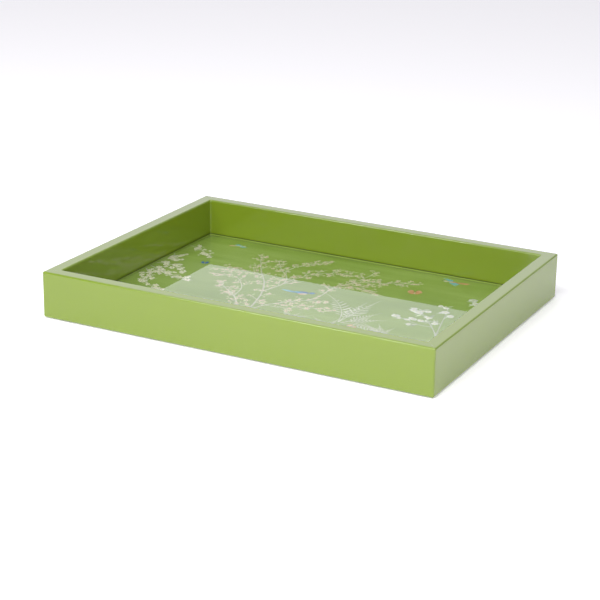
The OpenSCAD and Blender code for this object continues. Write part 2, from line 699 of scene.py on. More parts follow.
@dataclass
class RailFrame:
    """The four mitred rails, each a lacquered section carried from mitre to mitre."""

    sizes: TraySizes
    finish: bpy.types.Material
    outer_corner: float = 1.5 * MM
    inner_fillet: float = 1.2 * MM
    sharpest: float = 0.05 * MM
    edge_steps: int = 8
    corner_steps: int = 6
    spline_thickness: float = 3.0 * MM
    glue_space: float = 0.2 * MM
    hold: float = 0.25 * MM

    def _arc(self, inset: float, height: float, start: float, end: float) -> list[list]:
        """A round edge of the section, with how much of the painted edge sheen it takes.

        Args:
            inset: its middle's distance in from the outer face.
            height: its middle's height.
            start: the first angle in degrees, from the inward direction.
            end: the last one.

        Returns:
            (inset, height, share of the painted edge sheen) for each point.
        """
        radius = self.sizes.edge_radius
        share = np.linspace(0, 1, self.edge_steps + 1)
        angle = np.radians(start + (end - start) * share)
        # Painted edge sheen: most in the middle of each round edge, none on the flats.
        edge_sheen = np.sin(math.pi * share) ** 0.5
        across, up = inset + radius * np.cos(angle), height + radius * np.sin(angle)
        return np.stack([across, up, edge_sheen], -1).tolist()

    def section(self) -> np.ndarray:
        """The rail's section, from its outer bottom edge up, over the top and down inside.

        Beside each round edge stands a point a hair further on, which keeps the flats flat.

        Returns:
            (inset, height, share of the painted edge sheen) for each point.
        """
        top, bottom, rabbet = self.sizes.rail_top, self.sizes.rail_bottom, self.sizes.rabbet_top
        inside, radius, hold = self.sizes.thickness, self.sizes.edge_radius, self.hold
        step_in = inside - self.sizes.rabbet
        points = self._arc(radius, bottom + radius, 270, 180)
        points += [(0, bottom + radius + hold, 0), (0, top - radius - hold, 0)]
        points += self._arc(radius, top - radius, 180, 90)
        points += [(radius + hold, top, 0), (inside - radius - hold, top, 0)]
        points += self._arc(inside - radius, top - radius, 90, 0)
        points += [(inside, top - radius - hold, 0), (inside, rabbet + hold, 0)]
        points += [(inside, rabbet, 0), (inside - hold, rabbet, 0)]
        points += [(step_in + hold, rabbet, 0), (step_in, rabbet, 0)]
        points += [(step_in, rabbet - hold, 0), (step_in, bottom + hold, 0)]
        points += [(step_in, bottom, 0), (step_in - hold, bottom, 0)]
        points += [(radius + hold, bottom, 0)]
        return np.array(points)

    def _corner_radius(self, inset: np.ndarray) -> np.ndarray:
        """Plan radius of the corner at each inset.

        It shrinks over the outer edge, and grows over the inner edge from the fillet that
        lacquer leaves in the well's corner.

        Args:
            inset: distances in from the outer face.

        Returns:
            The radii.
        """
        outer = np.maximum(self.outer_corner - inset, self.sharpest)
        inner = self.inner_fillet + (self.sizes.thickness - inset)
        edge = self.sizes.edge_radius
        share = np.clip((inset - edge) / (self.sizes.thickness - 2 * edge), 0, 1)
        top = (1 - share) * self.sharpest + share * (self.inner_fillet + edge)
        return np.where(inset <= edge, outer, np.where(share >= 1, inner, top))

    def _surface(self, run: float, across: float) -> tuple[np.ndarray, np.ndarray]:
        """The rail facing -Y: each section point's line from mitre to mitre.

        Each line is half a corner arc, a straight run and half of the next arc.

        Args:
            run: half the tray's size along the rail.
            across: half its size across the rail.

        Returns:
            The points as (section point, place along, axis), and each one's share of the painted
            edge sheen.
        """
        section = self.section()
        inset, height = section[:, 0:1], section[:, 1:2]
        radius = self._corner_radius(inset)
        angle = np.radians(np.linspace(225, 270, self.corner_steps + 1))[None, :]
        middle_x, middle_y = -run + inset + radius, -across + inset + radius
        arc_x = middle_x + radius * np.cos(angle)
        arc_y = middle_y + radius * np.sin(angle)
        straight = np.concatenate([middle_x + self.hold, 0 * inset, -middle_x - self.hold], 1)
        x = np.concatenate([arc_x, straight, -arc_x[:, ::-1]], 1)
        y = np.concatenate([arc_y, (inset - across) + 0 * straight, arc_y[:, ::-1]], 1)
        points = np.stack([x, y, height + 0 * x], -1)
        return points, np.repeat(section[:, 2:3], x.shape[1], 1)

    def _mitre(self, points: np.ndarray, end: int, run: float, across: float,
               first: int) -> tuple[np.ndarray, list]:
        """Closes one end of a rail, with the slot that takes half a spline.

        Args:
            points: the rail's surface.
            end: 0 for the end towards -X, and -1 for the other.
            run: half the tray's size along the rail.
            across: half its size across the rail.
            first: how many points come before the new ones.

        Returns:
            The slot's points, and the faces of the mitre and the slot.
        """
        rows, columns = points.shape[:2]
        loop = [row * columns + (end % columns) for row in range(rows)]
        low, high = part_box("front_left_spline")
        middle = (low.x + high.x) / 2 + self.sizes.half_x
        spread = self.spline_thickness / 2 / math.sqrt(2)
        width = (high.x - low.x) * math.sqrt(2) - self.spline_thickness
        depth = (width / 2 + self.glue_space) / math.sqrt(2)
        side = 1 if end == 0 else -1
        insets = np.array([middle - spread, middle + spread] * 2)[[0, 1, 3, 2]]
        heights = np.array([low.z - self.glue_space] * 2 + [high.z + self.glue_space] * 2)
        mouth = np.stack([side * (insets - run), insets - across, heights], -1)
        bottom = mouth + np.array([side * depth, -depth, 0])
        outline = [Vector(points[row, end]) for row in range(rows)]
        triangles = tessellate_polygon([outline, [Vector(corner) for corner in mouth]])
        near, far = [range(start, start + 4) for start in (first, first + 4)]
        numbers = [*loop, *near]
        faces = [[numbers[corner] for corner in triangle] for triangle in triangles]
        for corner, after in zip(range(4), (1, 2, 3, 0)):
            faces.append([near[corner], near[after], far[after], far[corner]])
        faces.append(list(far))
        return np.concatenate([mouth, bottom]), faces

    def build(self) -> None:
        """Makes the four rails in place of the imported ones."""
        for side in Side:
            word, degrees = side.value
            lengthwise = side in (Side.FRONT, Side.BACK)
            run = self.sizes.half_x if lengthwise else self.sizes.half_y
            across = self.sizes.half_y if lengthwise else self.sizes.half_x
            points, edge_sheen = self._surface(run, across)
            rows, columns = points.shape[:2]
            faces = grid_faces(rows, columns, wrap_rows=True).tolist()
            sides = len(faces)
            every = points.reshape(-1, 3)
            for end in (0, -1):
                added, closing = self._mitre(points, end, run, across, len(every))
                every = np.concatenate([every, added])
                faces += closing
            turn = np.array(Matrix.Rotation(math.radians(degrees), 3, "Z"))
            piece = make_piece(f"{word}_rail_lacquered", every @ turn.T, faces, [self.finish],
                               (f"{word}_rail",))
            shade_smooth(piece, set(range(sides, len(faces))))
            # Painted edge sheen for each point; the points of the mitres take none.
            edge_sheen_share = np.zeros(len(every))
            edge_sheen_share[:edge_sheen.size] = edge_sheen.ravel()
            attribute = piece.data.attributes.new("edge_sheen", "FLOAT", "POINT")
            attribute.data.foreach_set("value", edge_sheen_share)


# ---------------------------------------------------------------- sheets


@dataclass
class Sheet:
    """A flat sheet lofted through rings, with a grid of rings closing its top and underside."""

    half_x: float
    half_y: float
    corner: float
    corner_steps: int = 4
    cover_rings: int = 24

    def rings(self, edge: list[Pair], waver: float = 0.0, seed: int = 0) -> np.ndarray:
        """Rings from the middle of the underside, round the edge, to the middle of the top.

        A cover's rings are the outline shrunk towards the middle. A cut edge is drawn in by a
        sum of sines that fit several times round it.

        Args:
            edge: (inset, height) of each ring of the edge, from the underside up.
            waver: how far a cut edge wanders.
            seed: start of the random draws.

        Returns:
            The points as (ring, place round it, axis).
        """
        rng = np.random.default_rng(seed)
        outline = rounded_ring(self.half_x, self.half_y, self.corner, self.corner_steps)
        outline = self._with_runs(outline)
        angle = np.linspace(0, TAU, len(outline), endpoint=False)
        wander = 12 * waver * sum(
            rng.normal() * np.sin(waves * angle + rng.uniform(0, TAU)) / waves
            for waves in (31, 47, 67, 83))
        reach = np.array([self.half_x, self.half_y])
        shrink = np.linspace(0.01, 1, self.cover_rings)[:, None, None]
        cover = outline[None] * shrink
        under, over = edge[0], edge[-1]
        low = self._level(cover * (1 - under[0] / reach), under[1])
        high = self._level(cover[::-1] * (1 - over[0] / reach), over[1])
        middle = []
        for inset, height in edge[1:-1]:
            ring = outline * (1 - (inset + np.abs(wander)[:, None]) / reach)
            middle.append(self._level(ring[None], height))
        return np.concatenate([low, *middle, high])

    def _with_runs(self, outline: np.ndarray, pieces: int = 22) -> np.ndarray:
        """Adds evenly spaced points along the four straight runs of an outline.

        Args:
            outline: the outline's corner points.
            pieces: parts that each straight run is cut into.

        Returns:
            The longer outline.
        """
        size = self.corner_steps + 1
        parts = []
        for start in range(0, 4 * size, size):
            corner = outline[start:start + size]
            after = outline[(start + size) % len(outline)]
            share = np.linspace(0, 1, pieces + 1)[1:-1, None]
            parts += [corner, corner[-1] * (1 - share) + after * share]
        return np.concatenate(parts)

    @staticmethod
    def _level(rings: np.ndarray, height: float) -> np.ndarray:
        """The rings at one height."""
        return np.concatenate([rings, np.full((*rings.shape[:2], 1), height)], -1)

    @staticmethod
    def faces(rings: np.ndarray) -> list:
        """Quads between the rings, and one small face in the middle of each cover."""
        count, around = rings.shape[:2]
        quads = grid_faces(count, around, wrap_columns=True).tolist()
        last = (count - 1) * around
        return [*quads, list(range(around)), list(range(last, last + around))]


@dataclass
class TrayFloor:
    """The painted card and the glass over it."""

    sizes: TraySizes
    paint_depth: float = 0.2 * MM
    card_corner: float = 0.6 * MM
    card_lip: float = 0.15 * MM
    ridge_height: float = 0.012 * MM
    glass_corner: float = 1.0 * MM
    arris: float = 0.35 * MM

    @property
    def ground(self) -> float:
        """Height of the card's painted ground, under the depth of the brushwork."""
        return self.sizes.card_top - self.paint_depth

    def build_card(self) -> None:
        """The card: a thin sheet whose ground has faint ridges left by a broad brush.

        The ridges are a sine across the card, which sways and fades along it.
        """
        sizes, lip = self.sizes, self.card_lip
        sheet = Sheet(sizes.floor_x, sizes.floor_y, self.card_corner, cover_rings=40)
        edge = [(lip, sizes.card_bottom), (0, sizes.card_bottom + lip), (0, self.ground - lip),
                (lip, self.ground)]
        rings = sheet.rings(edge, waver=0.02 * MM, seed=3)
        x, y, z = rings[..., 0], rings[..., 1], rings[..., 2]
        swaying, fading = np.sin(950 * y + 2 * np.sin(21 * x)), np.sin(37 * x + 5)
        ridges = swaying * fading * self.ridge_height
        rings[..., 2] = np.where(z >= self.ground, z + np.minimum(ridges, 0), z)
        piece = make_piece("painted_card", rings, sheet.faces(rings),
                           [PaintedGround().build()], ("painted_panel",))
        shade_smooth(piece)

    def build_glass(self) -> None:
        """The glass: a polished sheet with ground arrises along its edges."""
        sizes, arris = self.sizes, self.arris
        bottom, top = sizes.card_top, sizes.glass_top
        sheet = Sheet(sizes.floor_x, sizes.floor_y, self.glass_corner, cover_rings=3)
        rings = sheet.rings([(arris, bottom), (0, bottom + arris), (0, top - arris), (arris, top)])
        glass = ClearGlass()
        piece = make_piece("glass_sheet", rings, sheet.faces(rings),
                           [glass.under(), glass.edge(bottom, top), glass.top()],
                           ("glass_insert",))
        height = np.array([polygon.center.z for polygon in piece.data.polygons])
        level = [bottom + 0.01 * MM, top - 0.01 * MM]
        piece.data.polygons.foreach_set("material_index", np.digitize(height, level))


@dataclass
class FeltBase:
    """The felt sheet glued under the tray, with edges as shears leave them."""

    corner: float = 3.0 * MM
    soft_share: float = 0.25
    lump_height: float = 0.04 * MM

    def build(self) -> None:
        """Makes the sheet, whose underside has low lumps: a sine each way, one of them swaying."""
        low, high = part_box("felt_base")
        sheet = Sheet(high.x, high.y, self.corner, corner_steps=6, cover_rings=48)
        soft = self.soft_share * (high.z - low.z)
        edge = [(soft, low.z), (0.3 * soft, low.z + 0.4 * soft), (0, low.z + soft),
                (0, high.z - soft), (0.3 * soft, high.z - 0.4 * soft), (soft, high.z)]
        rings = sheet.rings(edge, waver=0.05 * MM, seed=8)
        x, y, z = rings[..., 0], rings[..., 1], rings[..., 2]
        waves = np.sin(410 * x + 3 * np.sin(170 * y)) * np.sin(390 * y + 2)
        under = z <= low.z + 0.001 * MM
        rings[..., 2] = np.where(under, z + (1 + waves) * self.lump_height, z)
        piece = make_piece("felt_sheet", rings, sheet.faces(rings), [WoolFelt().build()],
                           ("felt_base",))
        shade_smooth(piece)


@dataclass
class Joinery:
    """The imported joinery, which keeps its shapes and gets its finishes."""

    def dress_all(self) -> None:
        """Finishes the splines, the base board and the panel pins."""
        for degrees, corners in ((45, ("front_left", "back_right")),
                                 (-45, ("front_right", "back_left"))):
            plywood = ThinPlywood(math.radians(degrees)).build()
            for corner in corners:
                dress(f"{corner}_spline", plywood)
        dress("base_board", BareFibreboard().build())
        dress("panel_pins", DrawnSteel().build())
        log.info("joinery: finishes given")


# ---------------------------------------------------------------- brushwork


# How many places along a stroke of each kind are worked out.
STROKE_SAMPLES = 7
LEAFLET_SAMPLES = 5
FEATHER_SAMPLES = 9


class Layer(Enum):
    """Height of a layer of paint above the ground, in millimetres."""

    GRASS = 0.000
    LIMB = 0.022
    LEAF = 0.044
    PETAL_UNDER = 0.066
    PETAL_OVER = 0.088
    HEART = 0.110
    CREATURE = 0.132
    DETAIL = 0.154


def smooth_path(points: list[Pair], samples: int) -> np.ndarray:
    """A curve through points: the cubic that leaves each along the chord past it.

    Args:
        points: the points, in millimetres.
        samples: how many places to return.

    Returns:
        Evenly spread places on the curve, in metres.
    """
    knots = np.array(points, float) * MM
    padded = np.concatenate([2 * knots[:1] - knots[1:2], knots, 2 * knots[-1:] - knots[-2:-1]])
    place = np.linspace(0, len(knots) - 1, samples)
    index = np.minimum(place.astype(int), len(knots) - 2)
    t = (place - index)[:, None]  # share of the way from one point to the next
    before, here, after, beyond = (padded[index + step] for step in range(4))
    slope = after - before
    bow = 2 * before - 5 * here + 4 * after - beyond
    twist = 3 * here - before - 3 * after + beyond
    return 0.5 * (2 * here + slope * t + bow * t**2 + twist * t**3)


def arcs(start: np.ndarray, angle: np.ndarray, length: np.ndarray, bend: np.ndarray,
         samples: int) -> np.ndarray:
    """Short curved paths, many at once: each sets out at an angle and turns steadily.

    Args:
        start: where each begins, as (n, 2).
        angle: its first direction.
        length: its length.
        bend: how far it turns, in radians.
        samples: places along each.

    Returns:
        The paths, as (n, samples, 2).
    """
    share = np.linspace(0, 1, samples)[None, :]
    heading = angle[:, None] + bend[:, None] * share
    steps = np.stack([np.cos(heading), np.sin(heading)], -1) * (length[:, None, None] / samples)
    along = np.cumsum(steps, 1) - steps
    return start[:, None, :] + along


@dataclass
class Brushwork:
    """Brush strokes of one subject, gathered and then made one piece.

    A stroke is a path with a width at each place. Its section is flat below and crowned
    above, and both ends are closed. ACROSS gives the section's points as shares of the half
    width, and CROWN their heights as shares of the crown.
    """

    name: str
    ground: float
    crown: float = 0.020 * MM
    _parts: list = field(default_factory=list)

    ACROSS = np.array([-1.0, -0.6, 0.0, 0.6, 1.0])
    CROWN = np.array([0.0, 0.75, 1.0, 0.75, 0.0])

    def add(self, paths: np.ndarray, half_widths: np.ndarray, root: Colour, tip: Colour,
            layer: Layer, rng: Rng, vary: float = 0.08) -> None:
        """Adds strokes that have the same number of samples.

        Args:
            paths: their middle lines, as (n, samples, 2).
            half_widths: half the width at each place, as (n, samples) or (samples,).
            root: colour where the strokes begin.
            tip: colour where they end.
            layer: the layer of paint that they lie in.
            rng: source of one draw, which seeds these strokes' own draws.
            vary: how much their colours differ.
        """
        own = np.random.default_rng(int(rng.integers(1 << 30)))
        count, samples = paths.shape[:2]
        half = np.broadcast_to(half_widths, (count, samples))
        along = np.gradient(paths, axis=1)
        along /= np.maximum(np.linalg.norm(along, axis=-1, keepdims=True), 1e-9)
        normal = np.stack([-along[..., 1], along[..., 0]], -1)
        offset = half[:, :, None] * self.ACROSS
        plan = paths[:, :, None, :] + normal[:, :, None, :] * offset[..., None]
        base = self.ground + layer.value * MM + own.uniform(0, 0.002 * MM, (count, 1, 1))
        rise = self.crown * np.sqrt(half / half.max(1, keepdims=True))[:, :, None]
        height = base + rise * self.CROWN[None, None, :]
        points = np.concatenate([plan, height[..., None]], -1)
        share = np.linspace(0, 1, samples)[None, :, None, None]
        colour = np.array(root) * (1 - share) + np.array(tip) * share
        tone = 1 + own.normal(0, vary, (count, 1, 1, 1))
        edge = 1 - 0.10 * np.abs(self.ACROSS)[None, None, :, None]
        colour = np.clip(colour * tone * edge, 0, 1) + 0 * points
        travelled = np.cumsum(np.linalg.norm(np.gradient(paths, axis=1), axis=-1), 1)
        hairs = np.stack([
            (travelled[:, :, None] + 0 * height) * 200.0,
            offset * 3500.0,
            own.uniform(0, 50, (count, 1, 1)) + 0 * height,
        ], -1)
        self._parts.append((points, colour, hairs))

    def build(self, material: bpy.types.Material) -> None:
        """Makes the piece.

        Args:
            material: the brush paint.
        """
        around = len(self.ACROSS)
        every_face, first = [], 0
        for points, _, _ in self._parts:
            count, samples = points.shape[:2]
            quads = grid_faces(samples, around, wrap_columns=True)
            starts = first + np.arange(count) * samples * around
            every_face += (quads[None] + starts[:, None, None]).reshape(-1, 4).tolist()
            ring = np.arange(around)
            for offset in (0, (samples - 1) * around):
                every_face += (ring[None] + starts[:, None] + offset).tolist()
            first += count * samples * around
        points, colour, hairs = (
            np.concatenate([part[kind].reshape(-1, 3) for part in self._parts])
            for kind in range(3)
        )
        piece = make_piece(self.name, points, every_face, [material])
        shade_smooth(piece)
        paint = piece.data.attributes.new("paint", "FLOAT_COLOR", "POINT")
        paint.data.foreach_set("color", np.c_[colour, np.ones(len(colour))].ravel())
        stroke = piece.data.attributes.new("stroke", "FLOAT_VECTOR", "POINT")
        stroke.data.foreach_set("vector", hairs.ravel())


def petal_widths(samples: int, half_width: float, broadest: float, blunt: float) -> np.ndarray:
    """Half widths of a petal: a power of a sine whose peak is moved along it.

    Args:
        samples: places along the petal.
        half_width: the largest half width.
        broadest: the share of its length where it is broadest.
        blunt: below 1 for round ends, and above 1 for drawn-out ones.

    Returns:
        The half widths.
    """
    share = np.linspace(0.015, 0.985, samples)
    moved = share ** (math.log(0.5) / math.log(broadest))
    return half_width * np.maximum(np.sin(math.pi * moved) ** blunt, 0.06)


@dataclass
class FlowerStyle:
    """How a kind of blossom is painted."""

    petals: int
    length: float
    half_width: float
    root: Colour
    tip: Colour
    heart: Colour
    stamens: int = 5
    second_ring: int = 0


PLUM = FlowerStyle(5, 2.9 * MM, 0.72 * MM, (0.80, 0.53, 0.44), (0.90, 0.77, 0.68),
                   (0.56, 0.38, 0.16))
PEONY = FlowerStyle(7, 4.6 * MM, 1.9 * MM, (0.70, 0.63, 0.56), (0.81, 0.76, 0.72),
                    (0.74, 0.64, 0.34), stamens=7, second_ring=5)
SPRAY = FlowerStyle(5, 3.4 * MM, 1.1 * MM, (0.82, 0.71, 0.58), (0.98, 0.86, 0.74),
                    (0.56, 0.48, 0.20))


def paint_flowers(work: Brushwork, places: np.ndarray, sizes: np.ndarray, style: FlowerStyle,
                  rng: Rng) -> None:
    """Paints open flowers: a ring or two of petals, a heart and its stamens.

    Args:
        work: where the strokes go.
        places: the flowers' middles, as (n, 2).
        sizes: the size of each, 1 for the style's own.
        style: the kind of flower.
        rng: source of the random draws.
    """
    count = len(places)
    turn = rng.uniform(0, TAU, count)
    tilt = rng.uniform(0.62, 1.0, count)
    lean = rng.uniform(0, math.pi, count)
    rings = [(style.petals, 1.0, Layer.PETAL_UNDER)]
    if style.second_ring:
        rings.append((style.second_ring, 0.62, Layer.PETAL_OVER))
    for petals, share, layer in rings:
        spread = np.arange(petals) / petals * TAU
        angle = (turn[:, None] + spread + rng.normal(0, 0.09, (count, petals))).ravel()
        size = np.repeat(sizes, petals) * share
        length = style.length * size * rng.uniform(0.85, 1.12, len(angle))
        middle = np.repeat(places, petals, 0)
        start = middle + 0.06 * length[:, None] * np.stack([np.cos(angle), np.sin(angle)], -1)
        bend = rng.normal(0, 0.25, len(angle))
        paths = arcs(start, angle, length, bend, STROKE_SAMPLES)
        paths = _seen_tilted(paths, middle, np.repeat(tilt, petals), np.repeat(lean, petals))
        petal = petal_widths(STROKE_SAMPLES, style.half_width, broadest=0.62, blunt=0.62)
        work.add(paths, petal * size[:, None], style.root, style.tip, layer, rng)
    stamens = style.stamens
    angle = (turn[:, None] + 0.3 + np.arange(stamens) / stamens * TAU).ravel()
    reach = np.repeat(sizes, stamens) * style.length * 0.42
    paths = arcs(np.repeat(places, stamens, 0), angle, reach, 0 * angle, 4)
    widths = np.array([0.5, 0.35, 0.35, 0.8]) * 0.32 * MM
    work.add(paths, widths, style.heart, style.heart, Layer.HEART, rng)


def _seen_tilted(paths: np.ndarray, middle: np.ndarray, tilt: np.ndarray,
                 lean: np.ndarray) -> np.ndarray:
    """Squeezes each petal's path towards a line through the flower's middle.

    Args:
        paths: the petals' paths.
        middle: the middle of each petal's flower.
        tilt: what is left of the distance from the line.
        lean: the line's direction.

    Returns:
        The squeezed paths.
    """
    across = np.stack([-np.sin(lean), np.cos(lean)], -1)[:, None, :]
    offset = paths - middle[:, None, :]
    off_line = (offset * across).sum(-1, keepdims=True)
    return paths - across * off_line * (1 - tilt)[:, None, None]


def paint_leaves(work: Brushwork, places: np.ndarray, angle: np.ndarray, length: np.ndarray,
                 root: Colour, tip: Colour, slender: float, rng: Rng) -> None:
    """Paints leaves, each a pointed blade that bends a little to one side.

    Args:
        work: where the strokes go.
        places: where each leaf begins.
        angle: its direction.
        length: its length.
        root: colour at the stalk.
        tip: colour at the point.
        slender: half its width as a share of its length.
        rng: source of the random draws.
    """
    bend = rng.normal(0, 0.35, len(angle))
    paths = arcs(places, angle, length, bend, STROKE_SAMPLES)
    blade = petal_widths(STROKE_SAMPLES, half_width=1.0, broadest=0.42, blunt=1.0)
    work.add(paths, blade * (length * slender)[:, None], root, tip, Layer.LEAF, rng, vary=0.14)


@dataclass
class Limb:
    """A painted limb: its listed points and its width at both ends, in millimetres.

    Its twigs stand from the end of the bare share of its length to its tip.
    """

    points: list[Pair]
    thick: float
    thin: float
    twigs: int
    bare: float
    samples: int = 28


@dataclass
class BloomingTree:
    """A branching plant: limbs, twigs that spring from them, leaves, buds and flowers.

    Lengths and the flowers' scatter are in millimetres, and a flower's size is 1 where it is
    as large as its style says.
    """

    name: str
    limbs: list[Limb]
    style: FlowerStyle
    bark: Colour
    leaf: Colour
    ground: float
    seed: int
    twig_length: Pair = (7.0, 18.0)
    flower_size: Pair = (0.6, 1.1)
    leaf_length: Pair = (3.5, 7.0)
    flowers_each: int = 4
    flower_share: float = 0.78
    scatter: float = 1.8

    def build(self, paint: bpy.types.Material) -> None:
        """Paints the plant as three pieces: wood, leaves and flowers."""
        rng = np.random.default_rng(self.seed)
        wood = Brushwork(f"{self.name}_limbs", self.ground)
        leaves = Brushwork(f"{self.name}_leaves", self.ground)
        flowers = Brushwork(f"{self.name}_flowers", self.ground)
        twigs = np.concatenate([self._paint_limb(wood, limb, rng) for limb in self.limbs])
        self._paint_leaves(leaves, twigs, rng)
        self._paint_flowers(flowers, twigs, rng)
        for work in (wood, leaves, flowers):
            work.build(paint)

    def _paint_limb(self, wood: Brushwork, limb: Limb, rng: Rng) -> np.ndarray:
        """Paints a limb and its twigs.

        The limb tapers and swells at its knots by a sine. Twigs stand on alternate sides and
        bend back towards it, shorter towards its tip, where the last one carries it on.

        Args:
            wood: where the strokes go.
            limb: the limb.
            rng: source of the random draws.

        Returns:
            The twigs' paths.
        """
        path = smooth_path(limb.points, limb.samples)
        share = np.linspace(0, 1, limb.samples)
        knots = 1 + 0.16 * np.sin(share * 37 + rng.uniform(0, TAU))
        half = (limb.thick * (1 - share) + limb.thin * share) * knots * MM / 2
        wood.add(path[None], half, self.bark, self.bark, Layer.LIMB, rng)
        place = np.linspace(limb.bare, 0.99, limb.twigs)
        index = (place * (limb.samples - 1)).astype(int)
        forward = np.gradient(path, axis=0)[index]
        heading = np.arctan2(forward[:, 1], forward[:, 0])
        side = np.where(np.arange(limb.twigs) % 2 == 0, 1.0, -1.0)
        side[-1] = 0.1
        angle = heading + side * rng.uniform(0.5, 1.05, limb.twigs)
        length = rng.uniform(*self.twig_length, limb.twigs) * MM * (1.15 - 0.4 * place)
        bend = -side * rng.uniform(0, 0.6, limb.twigs)
        paths = arcs(path[index], angle, length, bend, STROKE_SAMPLES)
        widths = np.linspace(0.50, 0.22, STROKE_SAMPLES) * MM
        wood.add(paths, widths, self.bark, self.bark, Layer.LIMB, rng)
        return paths

    def _paint_leaves(self, leaves: Brushwork, twigs: np.ndarray, rng: Rng) -> None:
        """Paints four leaves along each twig, on alternate sides."""
        pale = tuple(1.25 * part for part in self.leaf)
        for step, side in ((2, 1), (3, -1), (5, 1), (6, -1)):
            forward = twigs[:, step] - twigs[:, step - 1]
            heading = np.arctan2(forward[:, 1], forward[:, 0])
            angle = heading + side * rng.uniform(0.4, 1.1, len(twigs))
            length = rng.uniform(*self.leaf_length, len(twigs)) * MM
            paint_leaves(leaves, twigs[:, step], angle, length, self.leaf, pale, 0.12, rng)

    def _paint_flowers(self, flowers: Brushwork, twigs: np.ndarray, rng: Rng) -> None:
        """Paints flowers on most of the places along the twigs, and a bud beside each twig."""
        steps = (6, 4, 2, 5, 3, 6)[:self.flowers_each]
        places = np.concatenate([twigs[:, step] for step in steps])
        places = places + rng.normal(0, self.scatter * MM, places.shape)
        places = places[rng.uniform(size=len(places)) < self.flower_share]
        sizes = rng.uniform(*self.flower_size, len(places))
        paint_flowers(flowers, places, sizes, self.style, rng)
        buds = twigs[:, 5] + rng.normal(0, 1.8 * MM, (len(twigs), 2))
        angle = rng.uniform(0, TAU, len(buds))
        length = np.full(len(buds), 0.55 * self.style.length)
        paths = arcs(buds, angle, length, 0 * angle, STROKE_SAMPLES)
        plump = petal_widths(STROKE_SAMPLES, 0.32 * self.style.length, broadest=0.5, blunt=0.7)
        flowers.add(paths, plump, self.style.root, self.style.tip, Layer.PETAL_OVER, rng)


@dataclass(frozen=True)
class FernCrown:
    """Where a clump of fern grows, in millimetres, and how its fronds fan, in degrees."""

    x: float
    y: float
    length: float
    towards: float
    fronds: int
    spread: float


@dataclass
class FernBed:
    """Fern clumps: fronds fanned from each crown, with leaflets in pairs along them."""

    crowns: list[FernCrown]
    ground: float
    seed: int
    pale: Colour = (0.76, 0.69, 0.63)
    shade: Colour = (0.63, 0.58, 0.50)
    pairs: int = 9
    bare_stalk: int = 3
    bare_tip: int = 2

    def build(self, paint: bpy.types.Material) -> None:
        """Paints all clumps as one piece, whose outer fronds droop the most."""
        rng = np.random.default_rng(self.seed)
        work = Brushwork("fern_fronds", self.ground)
        samples = self.pairs + self.bare_stalk + self.bare_tip
        for crown in self.crowns:
            count, spread = crown.fronds, crown.spread
            fan = np.linspace(-spread, spread, count) + rng.normal(0, 5, count)
            start = np.array([[crown.x, crown.y]]) * MM + rng.normal(0, 0.8 * MM, (count, 2))
            lengths = crown.length * MM * rng.uniform(0.62, 1.15, count)
            droop = np.linspace(-1.1, 1.1, count) * spread / 55 + rng.normal(0, 0.3, count)
            fronds = arcs(start, np.radians(crown.towards + fan), lengths, droop, samples)
            stalk = np.linspace(0.45, 0.16, samples) * MM
            work.add(fronds, stalk, self.shade, self.pale, Layer.GRASS, rng)
            self._paint_leaflets(work, fronds, lengths, rng)
        work.build(paint)

    def _paint_leaflets(self, work: Brushwork, fronds: np.ndarray, lengths: np.ndarray,
                        rng: Rng) -> None:
        """Paints leaflets, longest a quarter of the way along each frond.

        Their length follows the sine of half a turn times the root of the share of the way.

        Args:
            work: where the strokes go.
            fronds: the fronds' middle lines.
            lengths: the fronds' lengths.
            rng: source of the random draws.
        """
        leafy = slice(self.bare_stalk, -self.bare_tip)
        forward = np.gradient(fronds, axis=1)[:, leafy]
        heading = np.arctan2(forward[..., 1], forward[..., 0])
        places = fronds[:, leafy].reshape(-1, 2)
        share = np.linspace(0.04, 1, self.pairs)
        reach = lengths[:, None] * 0.17 * np.sin(math.pi * share ** 0.5) + 0.9 * MM
        for side in (1, -1):
            angle = (heading + side * 1.05).ravel()
            length = (reach * rng.uniform(0.85, 1.1, reach.shape)).ravel()
            bend = np.full(len(angle), -side * 0.45)
            paths = arcs(places, angle, length, bend, LEAFLET_SAMPLES)
            blade = petal_widths(LEAFLET_SAMPLES, half_width=1.0, broadest=0.4, blunt=0.9)
            widths = blade * (0.05 * length + 0.2 * MM)[:, None]
            work.add(paths, widths, self.shade, self.pale, Layer.LIMB, rng, vary=0.1)


# ---------------------------------------------------------------- birds and butterflies


@dataclass
class Feathers:
    """One group of a creature's strokes: where they start, fan and how they are coloured."""

    root: Pair
    towards: Pair
    length: Pair
    half_width: float
    count: int
    inner: Colour
    outer: Colour
    spread: Pair = (0.0, 0.0)
    bend: float = 0.0
    broadest: float = 0.5
    blunt: float = 0.7
    layer: Layer = Layer.CREATURE


